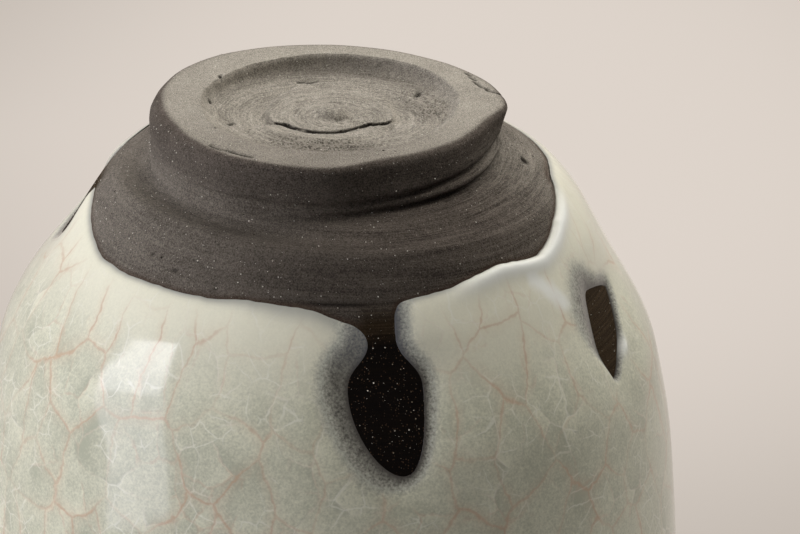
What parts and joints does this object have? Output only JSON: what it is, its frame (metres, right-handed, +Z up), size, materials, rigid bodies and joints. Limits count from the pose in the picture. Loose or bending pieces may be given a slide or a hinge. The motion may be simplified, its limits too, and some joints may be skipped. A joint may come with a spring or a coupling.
{
  "type": "tea bowl",
  "caption": "Hand-thrown stoneware tea bowl with an off-centre turned foot ring, a thick crackled glaze that stops short of the foot, and bare patches left by the dipper's fingers.",
  "frame": {"origin": "on the bowl's axis, in the plane of the foot ring's standing face", "axes": "+Z up out of the mouth, -Y towards the side with the open finger patch that the picture shows in front"},
  "size_m": [0.1135, 0.1135, 0.0819],
  "materials": {
    "stoneware": "unglazed, turned, gritty grey-brown",
    "poured_glaze": "glossy crackled celadon",
    "dipped_glaze": "glossy crackled celadon, thick"
  },
  "bodies": {
    "root": {"clay_body": "stoneware", "inner_glaze": "poured_glaze", "outer_glaze": "dipped_glaze"}
  },
  "joints": []
}
